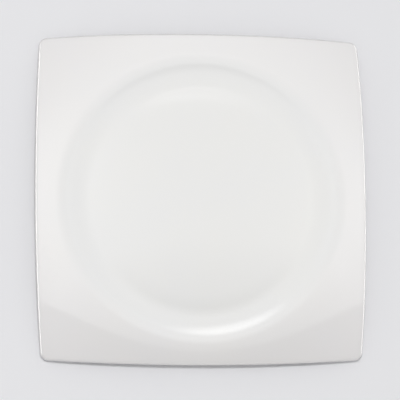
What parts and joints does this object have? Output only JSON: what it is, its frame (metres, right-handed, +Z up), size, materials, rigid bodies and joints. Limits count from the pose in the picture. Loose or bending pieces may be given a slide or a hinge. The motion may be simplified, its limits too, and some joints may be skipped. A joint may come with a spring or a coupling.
{
  "type": "square dinner plate",
  "caption": "Square dinner plate with bowed sides, drooping corners and a round well, in glossy white glazed porcelain on a bare foot ring.",
  "frame": {"origin": "middle of the plane that the foot ring stands on", "axes": "+Z up out of the well, +Y towards the top of the picture, +X to its right"},
  "size_m": [0.265, 0.265, 0.015],
  "materials": {
    "porcelain": "matte, unglazed",
    "glaze": "gloss"
  },
  "bodies": {
    "root": {"porcelain_body": "porcelain", "glaze_coat": "glaze", "recess_glaze": "glaze"}
  },
  "joints": []
}
